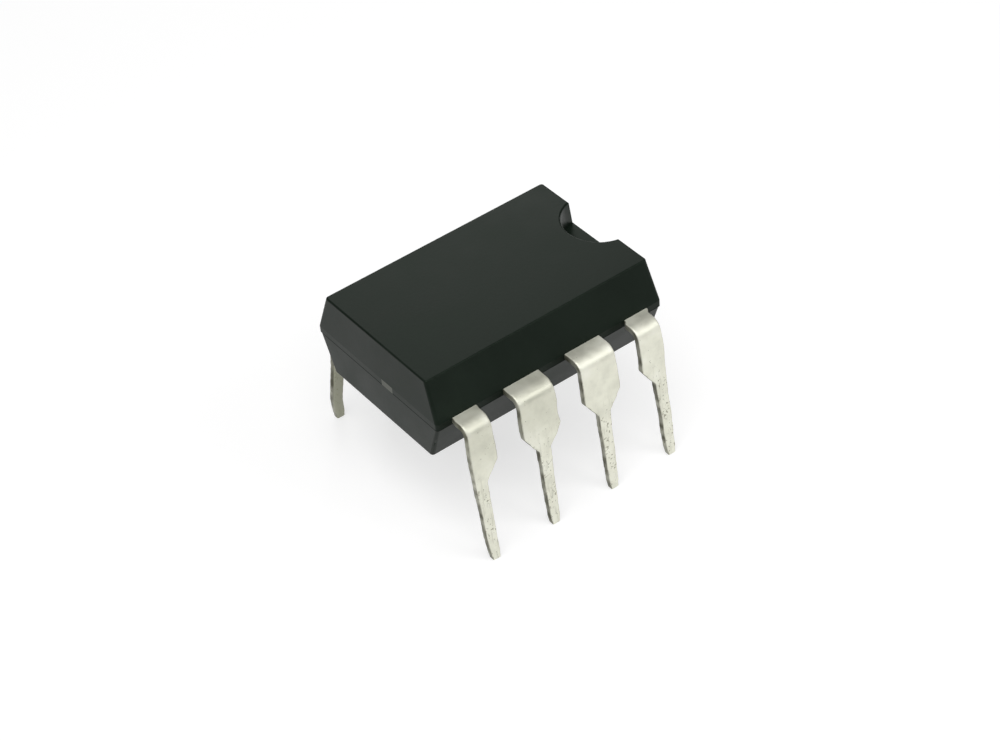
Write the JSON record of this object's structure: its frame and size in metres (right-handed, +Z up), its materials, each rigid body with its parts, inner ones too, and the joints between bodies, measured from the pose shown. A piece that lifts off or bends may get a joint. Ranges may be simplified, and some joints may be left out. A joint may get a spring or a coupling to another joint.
{
  "type": "dip integrated circuit chip",
  "caption": "Black moulded dual in-line integrated circuit with a half-round end notch and two rows of splayed, solder-coated leads for board holes or a socket.",
  "frame": {"origin": "on the plane the lead tips stand on, below the middle of the body", "axes": "+X along the body towards the notch, +Z up out of the top face, the lead rows at +Y and -Y; lead_1 is at the notch end of the +Y row and the numbers run counterclockwise seen from above"},
  "size_m": [0.0094, 0.0094, 0.0071],
  "materials": {
    "epoxy": "moulded, fine satin",
    "tinned_lead": "solder dipped, satin",
    "paddle_copper": "stamped copper alloy",
    "silver_epoxy": "cured paste",
    "silicon": "polished",
    "gold_wire": "drawn wire"
  },
  "bodies": {
    "root": {"package_body": "epoxy", "lead_1": "tinned_lead", "lead_2": "tinned_lead", "lead_3": "tinned_lead", "lead_4": "tinned_lead", "lead_5": "tinned_lead", "lead_6": "tinned_lead", "lead_7": "tinned_lead", "lead_8": "tinned_lead", "die_paddle": "paddle_copper", "die_attach": "silver_epoxy", "silicon_die": "silicon", "bond_wire_1": "gold_wire", "bond_wire_2": "gold_wire", "bond_wire_3": "gold_wire", "bond_wire_4": "gold_wire", "bond_wire_5": "gold_wire", "bond_wire_6": "gold_wire", "bond_wire_7": "gold_wire", "bond_wire_8": "gold_wire"}
  },
  "joints": []
}
